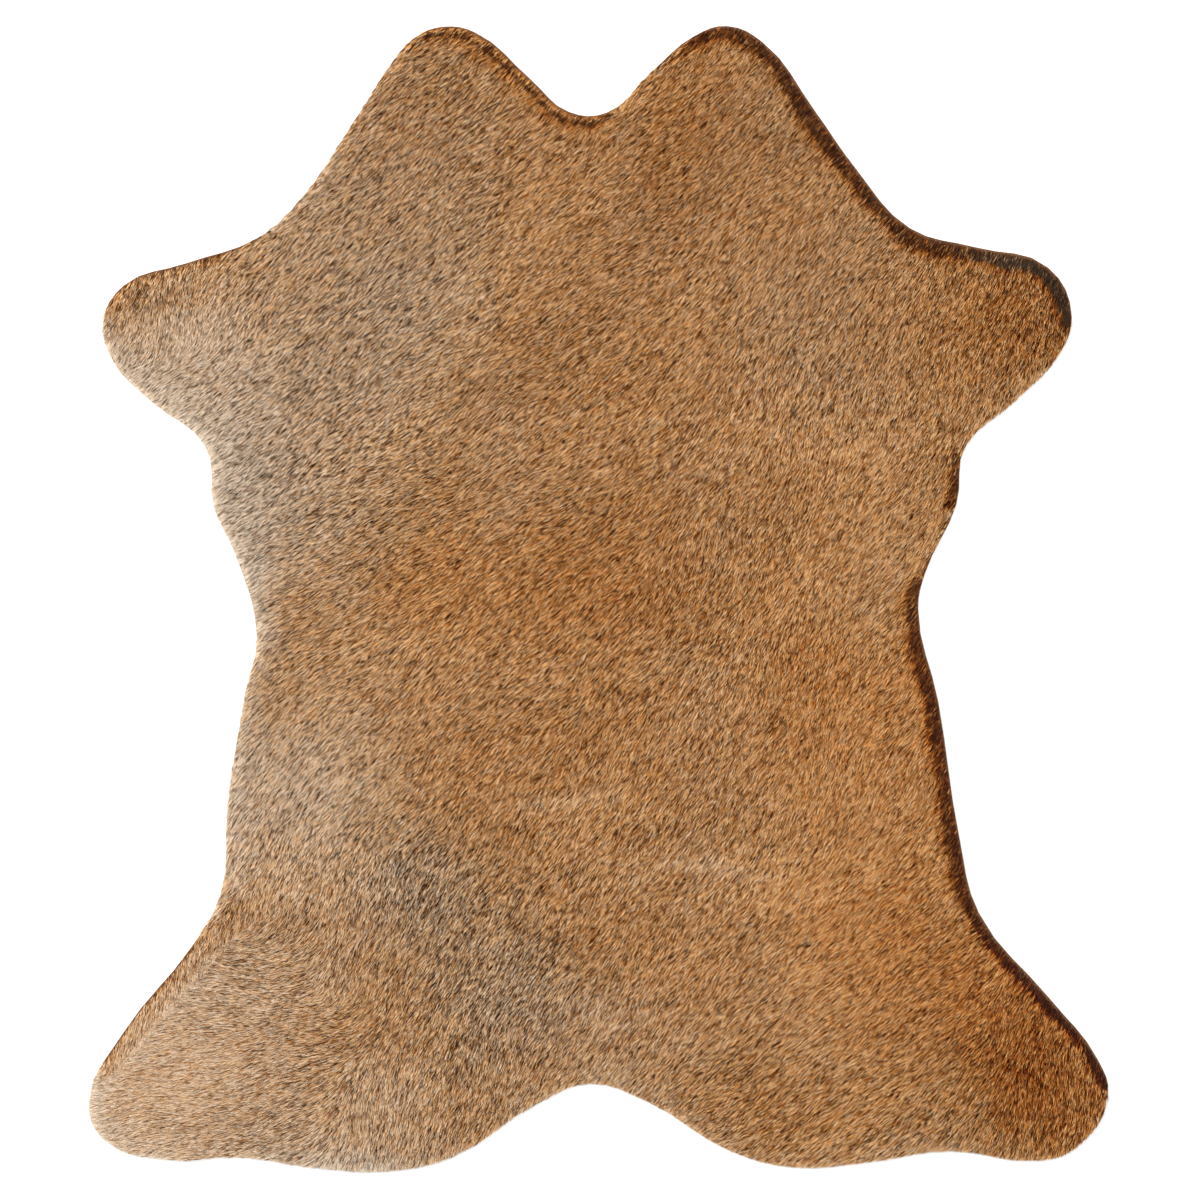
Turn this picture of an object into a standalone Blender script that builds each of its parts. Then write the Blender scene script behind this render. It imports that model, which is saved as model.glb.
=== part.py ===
"""A cowhide rug: one tanned skin with its short coat left on, lying flat on the floor.

The hide is one piece, so the model is one closed solid. It lies in the XY plane with its
neck towards +Y, its left side (as seen from above) towards -X, and its flesh side on Z = 0.
The solid reaches up to the top of the lying coat and out to the tips of the hair at the rim.
"""
import math

import bmesh
import bpy
from mathutils import Vector

MM = 0.001

# The hide's thickness, in millimetres
CUT_EDGE = 3.0       # height of the trimmed rim: the skin and the roots of the coat
COAT_TOP = 8.0       # height of the lying coat above the floor
RIM_WIDTH = 20.0     # the coat falls to the cut edge over this width
RIM_INSETS = (3.0, 6.0, 11.0)   # widths of the bands that make the fall, adding up to RIM_WIDTH

# How finely the shape is divided; lengths in millimetres
OUTLINE_STEPS = 4      # straight runs between two outline stations
LATTICE = 42.0         # pitch of the lattice that carries the coat's unevenness
SHORTEST_EDGE = 0.5    # shorter edges, where the lattice meets the rim, are closed up
ON_PLANE = 0.0005      # a corner this near to a lattice line counts as lying on it
SHARP_ANGLE = math.radians(40.0)

# The coat's colour (linear) and gloss
COAT_COLOUR = (0.35, 0.19, 0.09, 1.0)
COAT_ROUGHNESS = 0.65

# The outline in millimetres, clockwise as seen from above: the stations that a smooth curve passes
OUTLINE = (
    # name, x, y
    ("left neck lobe, outer", -284, 869),
    ("left neck lobe, crest", -240, 886),
    ("left neck lobe, inner", -190, 877),
    ("left neck slope", -105, 805),
    ("neck notch, left", -45, 754),
    ("neck notch, right", 14, 753),
    ("right neck slope", 81, 814),
    ("right neck lobe, inner", 150, 872),
    ("right neck lobe, crest", 200, 887),
    ("right neck lobe, outer", 255, 862),
    ("right neck", 335, 757),
    ("right shoulder", 398, 668),
    ("right fore leg, root", 483, 574),
    ("right fore leg, top", 586, 544),
    ("right fore leg, knuckle", 697, 513),
    ("right fore leg, tip", 734, 436),
    ("right fore leg, heel", 716, 383),
    ("right fore leg, underside", 640, 302),
    ("right armpit", 570, 239),
    ("right ribs", 555, 145),
    ("right belly, upper", 507, 40),
    ("right belly, inmost", 496, -15),
    ("right belly, lower", 527, -159),
    ("right flank", 560, -371),
    ("right thigh", 590, -487),
    ("right hind leg, top", 700, -620),
    ("right hind leg, ankle", 774, -714),
    ("right hind leg, tip", 790, -768),
    ("right hind leg, heel", 734, -854),
    ("right hind leg, toe", 678, -870),
    ("right hind leg, underside", 545, -855),
    ("right buttock, outer", 412, -873),
    ("right buttock", 300, -880),
    ("right rump edge", 205, -855),
    ("tail notch, right", 75, -778),
    ("tail notch", -14, -751),
    ("tail notch, left", -95, -782),
    ("left rump edge", -230, -866),
    ("left buttock", -333, -887),
    ("left buttock, outer", -432, -882),
    ("left hind leg, underside", -560, -864),
    ("left hind leg, toe", -655, -869),
    ("left hind leg, heel", -768, -835),
    ("left hind leg, tip", -788, -780),
    ("left hind leg, ankle", -735, -672),
    ("left hind leg, top", -630, -540),
    ("left thigh", -584, -460),
    ("left flank", -573, -320),
    ("left belly, lower", -545, -145),
    ("left belly, inmost", -528, -60),
    ("left belly, upper", -562, 70),
    ("left ribs", -594, 140),
    ("left armpit", -608, 236),
    ("left fore leg, underside", -692, 306),
    ("left fore leg, heel", -751, 368),
    ("left fore leg, tip", -766, 430),
    ("left fore leg, knuckle", -735, 485),
    ("left fore leg, top", -640, 519),
    ("left fore leg, root", -525, 560),
    ("left shoulder", -460, 618),
    ("left neck", -385, 726),
    ("left neck, upper", -311, 839),
)

# Soft folds pressed into the hide by folding it for transport: centre line, half width and depth, in mm
FOLDS = (
    # name, (start x, y), (end x, y), half width, depth
    ("along the neck", (-145, 770), (-145, 420), 30.0, 1.6),
    ("across the shoulders", (-520, 262), (520, 262), 32.0, 1.4),
    ("across the belly", (-480, -64), (450, -64), 34.0, 1.2),
    ("across the flanks", (-520, -421), (520, -421), 34.0, 1.4),
)

# Broad swells of the lying skin: wave lengths along X and Y, phase in turns and height, in mm
SWELLS = (
    # wave x, wave y, phase, height
    (610.0, 830.0, 0.10, 0.5),
    (-390.0, 520.0, 0.35, 0.4),
    (270.0, -340.0, 0.70, 0.3),
)


def outline_points():
    """The outline as a closed run of points, from a smooth curve through the stations."""
    curve = bpy.data.curves.new("outline", "CURVE")
    curve.dimensions = "2D"
    curve.fill_mode = "NONE"
    curve.resolution_u = OUTLINE_STEPS
    curve.render_resolution_u = OUTLINE_STEPS
    spline = curve.splines.new("BEZIER")
    spline.bezier_points.add(len(OUTLINE) - 1)
    for point, (_, x, y) in zip(spline.bezier_points, OUTLINE):
        point.co = (x * MM, y * MM, 0.0)
        point.handle_left_type = "AUTO"
        point.handle_right_type = "AUTO"
    spline.use_cyclic_u = True
    guide = bpy.data.objects.new("outline", curve)
    mesh = bpy.data.meshes.new_from_object(guide)
    points = [vertex.co.copy() for vertex in mesh.vertices]
    bpy.data.objects.remove(guide)
    bpy.data.meshes.remove(mesh)
    return points


def fold_depth(x, y):
    """How far the folds lower the coat at a place, all in millimetres."""
    place = Vector((x, y))
    depth = 0.0
    for _, start, end, half_width, deepest in FOLDS:
        start = Vector(start)
        run = Vector(end) - start
        along = min(max((place - start).dot(run) / run.length_squared, 0.0), 1.0)
        off = (place - start - along * run).length
        depth += deepest * math.exp(-((off / half_width) ** 2))
    return depth


def coat_height(x, y):
    """Height of the lying coat above the floor, all in millimetres."""
    swell = 0.0
    for wave_x, wave_y, phase, height in SWELLS:
        swell += height * math.sin(math.tau * (x / wave_x + y / wave_y + phase))
    return COAT_TOP + swell - fold_depth(x, y)


def make_slab(bm):
    """A flat slab with the hide's outline and the height of the cut edge; returns its top face."""
    corners = [bm.verts.new(point) for point in outline_points()]
    underside = bm.faces.new(corners)
    underside.normal_update()
    if underside.normal.z > 0.0:
        underside.normal_flip()
    raised = bmesh.ops.extrude_face_region(bm, geom=[underside])["geom"]
    top_corners = [item for item in raised if isinstance(item, bmesh.types.BMVert)]
    bmesh.ops.translate(bm, vec=(0.0, 0.0, CUT_EDGE * MM), verts=top_corners)
    top = next(item for item in raised if isinstance(item, bmesh.types.BMFace))
    return top


def round_the_rim(bm, top):
    """Bands inside the outline that lift the coat from the cut edge to its full height."""
    inset_so_far = 0.0
    for width in RIM_INSETS:
        bmesh.ops.inset_region(bm, faces=[top], thickness=width * MM, use_even_offset=True)
        inset_so_far += width
        still_to_go = 1.0 - inset_so_far / RIM_WIDTH
        rise = math.sqrt(1.0 - still_to_go * still_to_go)
        for vertex in top.verts:
            full = coat_height(vertex.co.x / MM, vertex.co.y / MM)
            vertex.co.z = (CUT_EDGE + (full - CUT_EDGE) * rise) * MM


def lattice_lines(low, high):
    """The lattice's lines between two bounds, in metres, the same on both sides of zero."""
    pitch = LATTICE * MM
    count = int(max(-low, high) / pitch) + 1
    lines = [(i + 0.5) * pitch for i in range(-count, count)]
    return [line for line in lines if low < line < high]


def lay_the_lattice(bm, top, mark):
    """Cut the flat inner face into a lattice and set each crossing to the coat's height."""
    top[mark] = 1
    xs = [vertex.co.x for vertex in top.verts]
    ys = [vertex.co.y for vertex in top.verts]
    cuts = [((x, 0.0, 0.0), (1.0, 0.0, 0.0)) for x in lattice_lines(min(xs), max(xs))]
    cuts += [((0.0, y, 0.0), (0.0, 1.0, 0.0)) for y in lattice_lines(min(ys), max(ys))]
    for place, normal in cuts:
        faces = [face for face in bm.faces if face[mark]]
        edges = [edge for edge in bm.edges if any(face[mark] for face in edge.link_faces)]
        verts = [vertex for vertex in bm.verts if any(face[mark] for face in vertex.link_faces)]
        bmesh.ops.bisect_plane(
            bm, geom=faces + edges + verts, dist=ON_PLANE * MM, plane_co=place, plane_no=normal)
    for vertex in bm.verts:
        if any(face[mark] for face in vertex.link_faces):
            vertex.co.z = coat_height(vertex.co.x / MM, vertex.co.y / MM) * MM


def coat_material():
    """Short cow hair: tan brown, a soft low gloss."""
    material = bpy.data.materials.new("brown cow hair")
    material.use_nodes = True
    material.diffuse_color = COAT_COLOUR
    shader = material.node_tree.nodes["Principled BSDF"]
    shader.inputs["Base Color"].default_value = COAT_COLOUR
    shader.inputs["Roughness"].default_value = COAT_ROUGHNESS
    shader.inputs["Metallic"].default_value = 0.0
    return material


def make_cowhide():
    """The rug itself: slab, rounded rim and uneven coat in one closed mesh."""
    bm = bmesh.new()
    coat_mark = bm.faces.layers.int.new("coat")
    top = make_slab(bm)
    round_the_rim(bm, top)
    lay_the_lattice(bm, top, coat_mark)
    bmesh.ops.dissolve_degenerate(bm, dist=SHORTEST_EDGE * MM, edges=bm.edges)
    bmesh.ops.recalc_face_normals(bm, faces=bm.faces)
    bm.faces.layers.int.remove(coat_mark)
    mesh = bpy.data.meshes.new("cowhide")
    bm.to_mesh(mesh)
    bm.free()
    mesh.shade_smooth()
    mesh.set_sharp_from_angle(angle=SHARP_ANGLE)
    mesh.materials.append(coat_material())
    hide = bpy.data.objects.new("cowhide", mesh)
    bpy.context.scene.collection.objects.link(hide)
    return hide


for old in list(bpy.data.objects):
    bpy.data.objects.remove(old)

make_cowhide()
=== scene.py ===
# %% [markdown]
# # A cowhide rug
#
# The rug is one tanned cow skin with its short hair left on, lying flat on a pale floor and seen
# from straight above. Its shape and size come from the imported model. This lesson gives that plain
# solid its looks: a thin skin underneath, and nearly a million small locks of hair on top.

# %% Load the model
import math

import bmesh
import bpy
import numpy as np
from mathutils.bvhtree import BVHTree
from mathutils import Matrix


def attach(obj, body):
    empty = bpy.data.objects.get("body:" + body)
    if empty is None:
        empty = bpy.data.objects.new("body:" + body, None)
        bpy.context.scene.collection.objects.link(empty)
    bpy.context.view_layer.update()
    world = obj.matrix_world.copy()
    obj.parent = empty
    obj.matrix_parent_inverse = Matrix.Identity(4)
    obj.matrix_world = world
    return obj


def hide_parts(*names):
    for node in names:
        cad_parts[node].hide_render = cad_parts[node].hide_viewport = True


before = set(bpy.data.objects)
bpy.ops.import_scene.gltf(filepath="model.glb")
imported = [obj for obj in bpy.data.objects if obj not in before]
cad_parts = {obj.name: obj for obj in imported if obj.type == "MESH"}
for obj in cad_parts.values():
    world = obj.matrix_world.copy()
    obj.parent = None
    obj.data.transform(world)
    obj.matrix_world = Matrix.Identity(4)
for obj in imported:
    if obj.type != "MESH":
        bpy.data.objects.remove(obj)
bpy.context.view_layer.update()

MM = 0.001
hide_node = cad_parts["cowhide"]

# %% [markdown]
# Colours are written as sRGB hex values, as a picker in any paint program shows them. Blender's
# shaders want linear light, so one function turns them round. A second small function adds a
# shader node with its settings and links, so that each material reads as a list of its nodes.

# %% Colour and node helpers
def linear(hex_colour):
    """An sRGB hex colour as linear red, green, blue and alpha."""
    channels = [int(hex_colour[i:i + 2], 16) / 255.0 for i in (1, 3, 5)]
    return [c / 12.92 if c <= 0.04045 else ((c + 0.055) / 1.055) ** 2.4 for c in channels] + [1.0]


def add_node(material, kind, settings=(), links=()):
    """A new shader node; settings are (name, value) and links are (input, output socket)."""
    node = material.node_tree.nodes.new(kind)
    for name, value in settings:
        if name in node.inputs:
            node.inputs[name].default_value = value
        else:
            setattr(node, name, value)
    for name, source in links:
        material.node_tree.links.new(source, node.inputs[name])
    return node


def new_material(name, roughness):
    """An empty Principled material; returns it with its shader."""
    material = bpy.data.materials.new(name)
    material.use_nodes = True
    shader = material.node_tree.nodes["Principled BSDF"]
    shader.inputs["Roughness"].default_value = roughness
    return material, shader


def set_ramp(ramp_node, stops):
    """Put (position, hex colour) stops on a colour ramp."""
    ramp = ramp_node.color_ramp
    while len(ramp.elements) < len(stops):
        ramp.elements.new(0.5)
    for element, (position, colour) in zip(ramp.elements, stops):
        element.position = position
        element.color = linear(colour)


print("#808080 in linear light: %.3f" % linear("#808080")[0])

# %% [markdown]
# ## The skin
#
# A hair-on hide is tanned to about 2 to 3 mm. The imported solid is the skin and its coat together,
# so the skin is the same outline, pressed down to its own thickness. Its underside stays flat on
# the floor. A copy of the solid's triangles is merged first, because they come apart at each edge.

# %% Merge the solid's corners and find its rim
MERGE = 0.01 * MM
LOOKS_DOWN = -0.9   # the underside's faces have normals with a Z below this
UPRIGHT = 0.2       # and the trimmed wall's have a Z within this of level

skin_bm = bmesh.new()
skin_bm.from_mesh(hide_node.data)
bmesh.ops.remove_doubles(skin_bm, verts=skin_bm.verts, dist=MERGE)
skin_bm.normal_update()
coat_surface = BVHTree.FromBMesh(skin_bm)


def is_underside(face):
    """Whether a face looks down at the floor."""
    return face.normal.z < LOOKS_DOWN


def is_wall(face):
    """Whether a face stands upright, as the trimmed edge does."""
    return abs(face.normal.z) < UPRIGHT


rim_edges = [edge for edge in skin_bm.edges
             if any(map(is_underside, edge.link_faces)) and any(map(is_wall, edge.link_faces))]
print("rim edges:", len(rim_edges))


# %% [markdown]
# The hair has to know how far it stands from the trimmed edge, and which way that edge faces. So
# the rim's edges are walked once round into a closed line of points, turned to run anticlockwise.

# %% Walk round the rim
def walk_loop(edges):
    """The corners of a closed run of edges, in order."""
    first = edges[0]
    corner, walked = first.verts[1], [first.verts[0], first.verts[1]]
    edge, on_loop = first, set(edges)
    while corner is not walked[0]:
        edge = next(e for e in corner.link_edges if e in on_loop and e is not edge)
        corner = edge.other_vert(corner)
        walked.append(corner)
    return np.array([(v.co.x, v.co.y) for v in walked[:-1]])


rim = walk_loop(rim_edges)
rim_next = np.roll(rim, -1, axis=0)
signed_area = 0.5 * np.sum(rim[:, 0] * rim_next[:, 1] - rim_next[:, 0] * rim[:, 1])
if signed_area < 0.0:
    rim = rim[::-1].copy()
    rim_next = np.roll(rim, -1, axis=0)
hide_area = abs(signed_area)
hide_size = rim.max(axis=0) - rim.min(axis=0)
print("hide: %.3f x %.3f m, %.3f square metres" % (*hide_size, hide_area))

# %% [markdown]
# The skin's upper side is never quite smooth, so it keeps a part of the solid's swells and folds.
# The rim and the underside are suede, a different surface, so those faces take a second material.

# %% Press the solid down to a skin
CUT_EDGE = 3.0 * MM      # height of the solid at its trimmed rim
SKIN_AT_RIM = 1.9 * MM
SKIN_PER_COAT = 0.16     # how much of the solid's rise the skin itself has

for vertex in skin_bm.verts:
    if vertex.co.z > MERGE:
        vertex.co.z = SKIN_AT_RIM + SKIN_PER_COAT * (vertex.co.z - CUT_EDGE)
for face in skin_bm.faces:
    face.material_index = 0 if face.normal.z > UPRIGHT else 1
    face.smooth = face.normal.z > UPRIGHT
skin_mesh = bpy.data.meshes.new("hide_skin")
skin_bm.to_mesh(skin_mesh)
skin_bm.free()
skin = bpy.data.objects.new("hide_skin", skin_mesh)
bpy.context.scene.collection.objects.link(skin)
print("skin faces:", len(skin_mesh.polygons))

# %% [markdown]
# ### Skin materials
#
# Under the locks the skin shows only as dark gaps, where the short under-hair and its roots lie in
# the locks' shade; that shade is painted into their colour, a dark brown with fine uneven specks,
# about 3 mm across. The flesh side is undyed suede: a pale matt nap, with cloudy patches and a fine
# tooth that a small bump gives.

# %% Make the skin materials
ROOTS_SPECK = 3.0 * MM
SUEDE_CLOUD = 60.0 * MM
SUEDE_TOOTH = 1.2 * MM


def speckled(name, roughness, size, stops, bump_size, bump_height):
    """A matt surface with noise colour of one size and noise bump of another, in metres."""
    material, shader = new_material(name, roughness)
    place = add_node(material, "ShaderNodeTexCoord")
    colour = add_node(material, "ShaderNodeTexNoise", [("Scale", 1.0 / size), ("Detail", 3.0)],
                      [("Vector", place.outputs["Object"])])
    ramp = add_node(material, "ShaderNodeValToRGB", links=[("Fac", colour.outputs["Fac"])])
    set_ramp(ramp, stops)
    grain = add_node(material, "ShaderNodeTexNoise", [("Scale", 1.0 / bump_size), ("Detail", 2.0)],
                     [("Vector", place.outputs["Object"])])
    bump = add_node(material, "ShaderNodeBump", [("Strength", 0.6), ("Distance", bump_height)],
                    [("Height", grain.outputs["Fac"])])
    material.node_tree.links.new(ramp.outputs["Color"], shader.inputs["Base Color"])
    material.node_tree.links.new(bump.outputs["Normal"], shader.inputs["Normal"])
    return material


# The roots' dark brown is partly their own colour and partly painted shade between the locks.
roots_in_painted_shade = speckled("hair roots in painted shade on tanned skin", roughness=0.9, size=ROOTS_SPECK,
                      stops=((0.35, "#4A2D17"), (0.65, "#7E5430")),
                      bump_size=ROOTS_SPECK, bump_height=0.8 * MM)
suede = speckled("suede flesh side", roughness=0.95, size=SUEDE_CLOUD,
                 stops=((0.3, "#A48D72"), (0.7, "#BFAA8E")),
                 bump_size=SUEDE_TOOTH, bump_height=0.15 * MM)
skin_mesh.materials.append(roots_in_painted_shade)
skin_mesh.materials.append(suede)
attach(skin, "root")
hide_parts("cowhide")
print("skin materials: %s, %s" % (roots_in_painted_shade.name, suede.name))


# %% [markdown]
# ## The lie of the hair
#
# Cow hair lies flat, like shingles, and its direction turns slowly over the body: down and to the
# left nearly everywhere here, steeper in the legs on the right, flatter on the left flank, and with
# a parting in the left hind leg. A short table gives the direction at a few places, and every lock
# takes the mean of the places near it. Angles are where the tips point, anticlockwise from +X.

# %% Directions of the hair
LIE_OF_HAIR = (
    # name, x mm, y mm, angle of the tips in degrees, reach mm
    ("left neck lobe", -230, 800, 222, 140),
    ("left neck", -310, 630, 228, 120),
    ("right neck lobe", 215, 800, 229, 140),
    ("neck", 0, 630, 223, 180),
    ("left shoulder", -385, 510, 223, 110),
    ("left shoulder, lower", -300, 290, 224, 90),
    ("left of the withers", -150, 415, 218, 120),
    ("withers", 0, 400, 222, 110),
    ("right shoulder", 345, 540, 230, 110),
    ("right shoulder, lower", 405, 415, 243, 90),
    ("right armpit", 455, 310, 245, 90),
    ("right fore leg", 590, 430, 243, 70),
    ("right fore leg, tip", 690, 420, 256, 70),
    ("left fore leg, root", -560, 430, 236, 60),
    ("left fore leg", -650, 430, 262, 60),
    ("left fore leg, underside", -630, 345, 222, 60),
    ("left armpit", -515, 325, 215, 80),
    ("left ribs", -525, 185, 218, 100),
    ("left belly", -400, 60, 214, 110),
    ("left of the back", -275, 135, 213, 110),
    ("back", -60, 120, 218, 130),
    ("right of the back", 125, 230, 228, 110),
    ("right ribs", 300, 260, 245, 90),
    ("right back", 175, 75, 248, 80),
    ("right ribs, outer", 420, 170, 236, 80),
    ("right belly", 470, 60, 229, 90),
    ("left waist", -400, -65, 220, 100),
    ("waist", -60, -65, 225, 130),
    ("right of the waist", 300, -110, 248, 100),
    ("right flank, outer", 470, -155, 234, 80),
    ("left flank", -460, -250, 230, 100),
    ("left loin", -275, -250, 228, 110),
    ("loin", 0, -300, 236, 140),
    ("right loin", 345, -250, 244, 100),
    ("left thigh, upper", -495, -420, 242, 80),
    ("left thigh, inner", -340, -465, 252, 70),
    ("left rump", -245, -560, 240, 90),
    ("left hind leg, upper", -570, -620, 178, 90),
    ("left hind leg", -630, -730, 192, 90),
    ("left hind leg, underside", -490, -760, 196, 70),
    ("left thigh, lower", -430, -690, 190, 60),
    ("left buttock", -310, -775, 256, 90),
    ("left of the tail", -200, -715, 252, 80),
    ("tail", -10, -685, 235, 110),
    ("rump", 35, -500, 238, 120),
    ("right rump", 190, -605, 226, 110),
    ("right buttock", 315, -760, 215, 120),
    ("right thigh", 435, -590, 218, 110),
    ("right thigh, upper", 405, -450, 228, 90),
    ("right hind leg", 560, -715, 222, 80),
    ("right hind leg, outer", 655, -685, 237, 60),
    ("right hind foot", 705, -765, 258, 80),
)
LIE_BLENDING = 0.08   # higher values blend the places into each other more


def unit(angle):
    """Vectors of length 1 that point the way of each angle."""
    return np.stack([np.cos(angle), np.sin(angle)], axis=1)


def smooth_noise(x, y, size, seed):
    """Soft random hills between -1 and 1, about as wide as size, the same on every run."""
    random = np.random.default_rng(seed)
    cells, shift = 256, 100.0   # width of the table, and a shift away from its corner
    table = random.uniform(-1.0, 1.0, (cells, cells))
    u, v = x / size + shift, y / size + shift
    i, j = np.floor(u).astype(int), np.floor(v).astype(int)
    fu, fv = u - i, v - j
    fu, fv = fu * fu * (3.0 - 2.0 * fu), fv * fv * (3.0 - 2.0 * fv)
    i0, j0, i1, j1 = i % cells, j % cells, (i + 1) % cells, (j + 1) % cells
    low = table[i0, j0] * (1.0 - fu) + table[i1, j0] * fu
    high = table[i0, j1] * (1.0 - fu) + table[i1, j1] * fu
    return low * (1.0 - fv) + high * fv


def lie_angle(x, y):
    """Which way the tips point at each place, in radians."""
    total = np.zeros((len(x), 2))
    for _, centre_x, centre_y, degrees, reach in LIE_OF_HAIR:
        away = (x - centre_x * MM) ** 2 + (y - centre_y * MM) ** 2
        weight = 1.0 / (away / (reach * MM) ** 2 + LIE_BLENDING) ** 2
        total += weight[:, None] * unit(np.full(len(x), math.radians(degrees)))
    return np.arctan2(total[:, 1], total[:, 0])


print("places with a known direction:", len(LIE_OF_HAIR))

# %% [markdown]
# A parting is a line where the lie of the hair changes at once. One follows the outer edge of the
# left hind leg, and the hair outside it turns straight down. Another runs down inside the thigh.
# Each parting is a line with a side: locks on that side, up to the given width away, turn to the
# given angle.

# %% Partings
PARTINGS = (
    # name, (start x, y) mm, (end x, y) mm, width mm, angle of the tips in degrees
    ("outer side of the left hind leg", (-735, -730), (-590, -560), 55, 266),
    ("outer side of the left thigh", (-590, -560), (-500, -475), 55, 258),
    ("inner side of the left thigh", (-415, -435), (-423, -600), 60, 250),
    ("below the inner side of the left thigh", (-423, -600), (-307, -635), 60, 250),
)
TURN_WITHIN = 10.0 * MM     # the hair turns within this distance of the line,
TURN_FADES = 15.0 * MM      # turns back over this width on the far side,
TURN_OFF_ENDS = 30.0 * MM   # and over this length past the line's ends


def beside_parting(x, y, start, end):
    """Distance to the left of a parting's line, seen from its start, and how far off its ends."""
    start, end = np.array(start) * MM, np.array(end) * MM
    length = np.linalg.norm(end - start)
    run = (end - start) / length
    along = (x - start[0]) * run[0] + (y - start[1]) * run[1]
    across = (y - start[1]) * run[0] - (x - start[0]) * run[1]
    return across, np.maximum(np.maximum(-along, along - length), 0.0)


def turn_at_partings(x, y, angle):
    """Turn the hair on the left side of each parting's line."""
    turned = unit(angle)
    for _, start, end, width, degrees in PARTINGS:
        across, off_end = beside_parting(x, y, start, end)
        share = np.clip(across / TURN_WITHIN, 0.0, 1.0)
        share *= np.clip(1.0 - off_end / TURN_OFF_ENDS, 0.0, 1.0)
        share *= np.clip((width * MM - across) / TURN_FADES, 0.0, 1.0)
        target = unit(np.full(len(x), math.radians(degrees)))
        turned = turned * (1.0 - share[:, None]) + target * share[:, None]
    return np.arctan2(turned[:, 1], turned[:, 0])


print("partings:", len(PARTINGS))

# %% [markdown]
# ## Values on a grid
#
# Some values are slow to find for a million locks one by one, such as the distance to the rim. They
# are found once on a square grid that covers the hide with a margin. Any lock then takes the blend
# of the four grid places round it.

# %% Grids and blending
GRID_MARGIN = 40.0 * MM
grid_start = rim.min(axis=0) - GRID_MARGIN


def grid_places(step):
    """The places of a square grid, as two arrays of x and y."""
    columns, rows = np.ceil((hide_size + 2.0 * GRID_MARGIN) / step).astype(int) + 1
    column, row = np.meshgrid(np.arange(columns), np.arange(rows), indexing="ij")
    return grid_start[0] + column * step, grid_start[1] + row * step


def blend_grid(values, step, x, y):
    """Values between the places of a grid."""
    u, v = (x - grid_start[0]) / step, (y - grid_start[1]) / step
    i = np.clip(np.floor(u).astype(int), 0, values.shape[0] - 2)
    j = np.clip(np.floor(v).astype(int), 0, values.shape[1] - 2)
    fu, fv = np.clip(u - i, 0.0, 1.0), np.clip(v - j, 0.0, 1.0)
    low = values[i, j] * (1.0 - fu) + values[i + 1, j] * fu
    high = values[i, j + 1] * (1.0 - fu) + values[i + 1, j + 1] * fu
    return low * (1.0 - fv) + high * fv


print("grids start at %.3f, %.3f m" % tuple(grid_start))

# %% [markdown]
# ## Distance to the trimmed edge
#
# For each lock we need the nearest stretch of the rim: how far inside it the lock stands, and the
# direction that points straight out over the edge there. The distance to a line segment is plain
# vector algebra, done for all stretches of the rim at once to be quick.

# %% Measure places against the rim
RIM_GRID = 4.0 * MM
AT_ONCE = 20000     # places measured at one time, to save memory


def measure_rim(x, y):
    """Distance inside the rim (negative outside) and the outward direction, at each place."""
    run = rim_next - rim
    length2 = np.sum(run * run, axis=1)
    outward = np.stack([run[:, 1], -run[:, 0]], axis=1) / np.sqrt(length2)[:, None]
    inside, direction = np.empty(len(x)), np.empty((len(x), 2))
    for start in range(0, len(x), AT_ONCE):
        part = slice(start, start + AT_ONCE)
        dx = x[part, None] - rim[None, :, 0]
        dy = y[part, None] - rim[None, :, 1]
        along = np.clip((dx * run[:, 0] + dy * run[:, 1]) / length2, 0.0, 1.0)
        off_x, off_y = dx - along * run[:, 0], dy - along * run[:, 1]
        away = off_x * off_x + off_y * off_y
        nearest = np.argmin(away, axis=1)
        rows = np.arange(len(nearest))
        side = off_x[rows, nearest] * outward[nearest, 0] + off_y[rows, nearest] * outward[nearest, 1]
        inside[part] = np.where(side > 0.0, -1.0, 1.0) * np.sqrt(away[rows, nearest])
        direction[part] = outward[nearest]
    return inside, direction


grid_x, grid_y = grid_places(RIM_GRID)
grid_inside, grid_outward = measure_rim(grid_x.ravel(), grid_y.ravel())
rim_grids = [column.reshape(grid_x.shape) for column in (grid_inside, *grid_outward.T)]
print("rim grid:", grid_x.shape)


def to_the_rim(x, y):
    """Distance inside the rim and the outward direction, blended from the grid."""
    inside, outward_x, outward_y = (blend_grid(values, RIM_GRID, x, y) for values in rim_grids)
    size = np.maximum(np.hypot(outward_x, outward_y), 1e-6)
    return inside, np.stack([outward_x / size, outward_y / size], axis=1)


# %% [markdown]
# ## Rooting the locks
#
# Hair grows evenly, so the locks stand on a square grid with each one pushed off its place at
# random. The grid's pitch comes from the number of locks that the budget of triangles allows. Real
# hairs are far finer and far more, so each lock stands for a few dozen that cling together.

# %% Place the locks
LOCKS = 970000
LOCK_LENGTH = 16.0 * MM
LOCK_WIDTH = 0.9 * MM
BARE_RIM = 0.3 * MM     # no lock stands nearer to the trimmed edge than this
random = np.random.default_rng(7)

pitch = math.sqrt(hide_area / LOCKS)
columns, rows = np.ceil(hide_size / pitch).astype(int)
column, row = np.meshgrid(np.arange(columns), np.arange(rows), indexing="ij")
root_x = rim[:, 0].min() + (column.ravel() + random.uniform(0.0, 1.0, column.size)) * pitch
root_y = rim[:, 1].min() + (row.ravel() + random.uniform(0.0, 1.0, row.size)) * pitch
inside, _ = to_the_rim(root_x, root_y)
kept = inside > BARE_RIM
root_x, root_y = root_x[kept], root_y[kept]
count = len(root_x)
print("locks: %d, %.2f mm apart" % (count, pitch / MM))

# %% [markdown]
# Each lock gets its own length and lean. The lean is the lie of the hair, plus a slow wander over
# the body, plus a quick one from tuft to tuft, plus a little of its own. A lock whose tip would hang
# too far over the edge is drawn back to root further inside. Locks that start right at the edge and
# lean away from it were trimmed with the hide, so they are shorter.

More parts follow.
